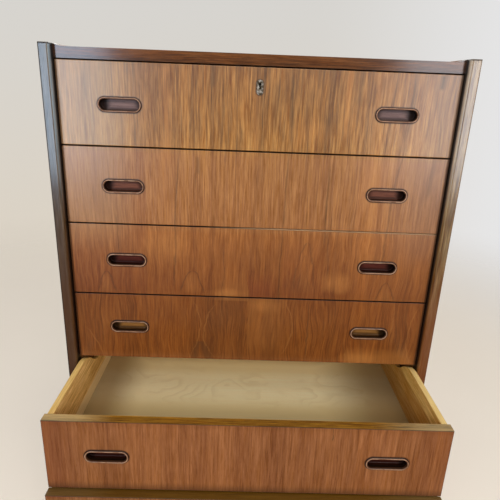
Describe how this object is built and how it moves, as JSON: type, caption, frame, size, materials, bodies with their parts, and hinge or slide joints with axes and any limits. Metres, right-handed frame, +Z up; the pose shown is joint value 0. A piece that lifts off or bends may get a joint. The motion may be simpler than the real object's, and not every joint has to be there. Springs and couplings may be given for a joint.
{
  "type": "chest of drawers",
  "caption": "Tall teak chest of drawers with recessed oval pulls, a locking top drawer, coved top and tapered round legs; the lowest drawers stand open.",
  "frame": {"origin": "on the floor, in the middle of the space taken up with the lowest drawers standing open, halfway between the two sides", "axes": "+Z up; +Y to the back, so the drawer fronts face -Y and slide out along -Y; +X to the right as seen from the front"},
  "size_m": [0.8, 0.6888, 1.132],
  "materials": {
    "case_veneer": "satin oiled teak veneer",
    "case_edge": "satin oiled solid teak",
    "front_veneer": "satin oiled teak veneer",
    "pull_teak": "satin oiled solid teak",
    "drawer_wood": "clear lacquered light hardwood",
    "plywood": "bare birch plywood",
    "back_ply": "thin stained plywood",
    "runner_wood": "waxed hardwood",
    "leg_teak": "satin oiled solid teak",
    "aged_silver": "worn nickel plate",
    "steel": "zinc plated",
    "brass": "dull brass"
  },
  "bodies": {
    "carcass": {"side_left": "case_veneer", "side_right": "case_veneer", "lipping_left": "case_edge", "lipping_right": "case_edge", "top_panel": "case_veneer", "top_rail": "case_edge", "strike_plate": "brass", "bottom_panel": "case_veneer", "bottom_rail": "case_edge", "back_panel": "back_ply", "runners": "runner_wood", "runner_screws": "steel", "back_screws": "steel", "leg_front_left": "leg_teak", "leg_front_right": "leg_teak", "leg_back_left": "leg_teak", "leg_back_right": "leg_teak", "leg_studs": "steel", "leg_plates": "steel", "plate_screws": "steel"},
    "drawer_1": {"drawer_front_1": "front_veneer", "drawer_side_left_1": "drawer_wood", "drawer_side_right_1": "drawer_wood", "drawer_back_1": "drawer_wood", "drawer_bottom_1": "plywood", "pulls_1": "pull_teak", "lock_case": "brass", "lock_screws": "steel", "escutcheon": "aged_silver"},
    "drawer_2": {"drawer_front_2": "front_veneer", "drawer_side_left_2": "drawer_wood", "drawer_side_right_2": "drawer_wood", "drawer_back_2": "drawer_wood", "drawer_bottom_2": "plywood", "pulls_2": "pull_teak"},
    "drawer_3": {"drawer_front_3": "front_veneer", "drawer_side_left_3": "drawer_wood", "drawer_side_right_3": "drawer_wood", "drawer_back_3": "drawer_wood", "drawer_bottom_3": "plywood", "pulls_3": "pull_teak"},
    "drawer_4": {"drawer_front_4": "front_veneer", "drawer_side_left_4": "drawer_wood", "drawer_side_right_4": "drawer_wood", "drawer_back_4": "drawer_wood", "drawer_bottom_4": "plywood", "pulls_4": "pull_teak"},
    "drawer_5": {"drawer_front_5": "front_veneer", "drawer_side_left_5": "drawer_wood", "drawer_side_right_5": "drawer_wood", "drawer_back_5": "drawer_wood", "drawer_bottom_5": "plywood", "pulls_5": "pull_teak"},
    "drawer_6": {"drawer_front_6": "front_veneer", "drawer_side_left_6": "drawer_wood", "drawer_side_right_6": "drawer_wood", "drawer_back_6": "drawer_wood", "drawer_bottom_6": "plywood", "pulls_6": "pull_teak"},
    "lock_bolt": {"lock_bolt": "brass"}
  },
  "joints": [
    {"name": "drawer_1_slide", "type": "slide", "parent": "carcass", "child": "drawer_1", "axis": [0, -1, 0], "range_m": [0, 0.3]},
    {"name": "drawer_2_slide", "type": "slide", "parent": "carcass", "child": "drawer_2", "axis": [0, -1, 0], "range_m": [0, 0.3]},
    {"name": "drawer_3_slide", "type": "slide", "parent": "carcass", "child": "drawer_3", "axis": [0, -1, 0], "range_m": [0, 0.3]},
    {"name": "drawer_4_slide", "type": "slide", "parent": "carcass", "child": "drawer_4", "axis": [0, -1, 0], "range_m": [0, 0.3]},
    {"name": "drawer_5_slide", "type": "slide", "parent": "carcass", "child": "drawer_5", "axis": [0, -1, 0], "range_m": [-0.22, 0.08]},
    {"name": "drawer_6_slide", "type": "slide", "parent": "carcass", "child": "drawer_6", "axis": [0, -1, 0], "range_m": [-0.238, 0.062]},
    {"name": "lock_bolt_throw", "type": "slide", "parent": "drawer_1", "child": "lock_bolt", "axis": [0, 0, 1], "range_m": [0, 0.007]}
  ]
}
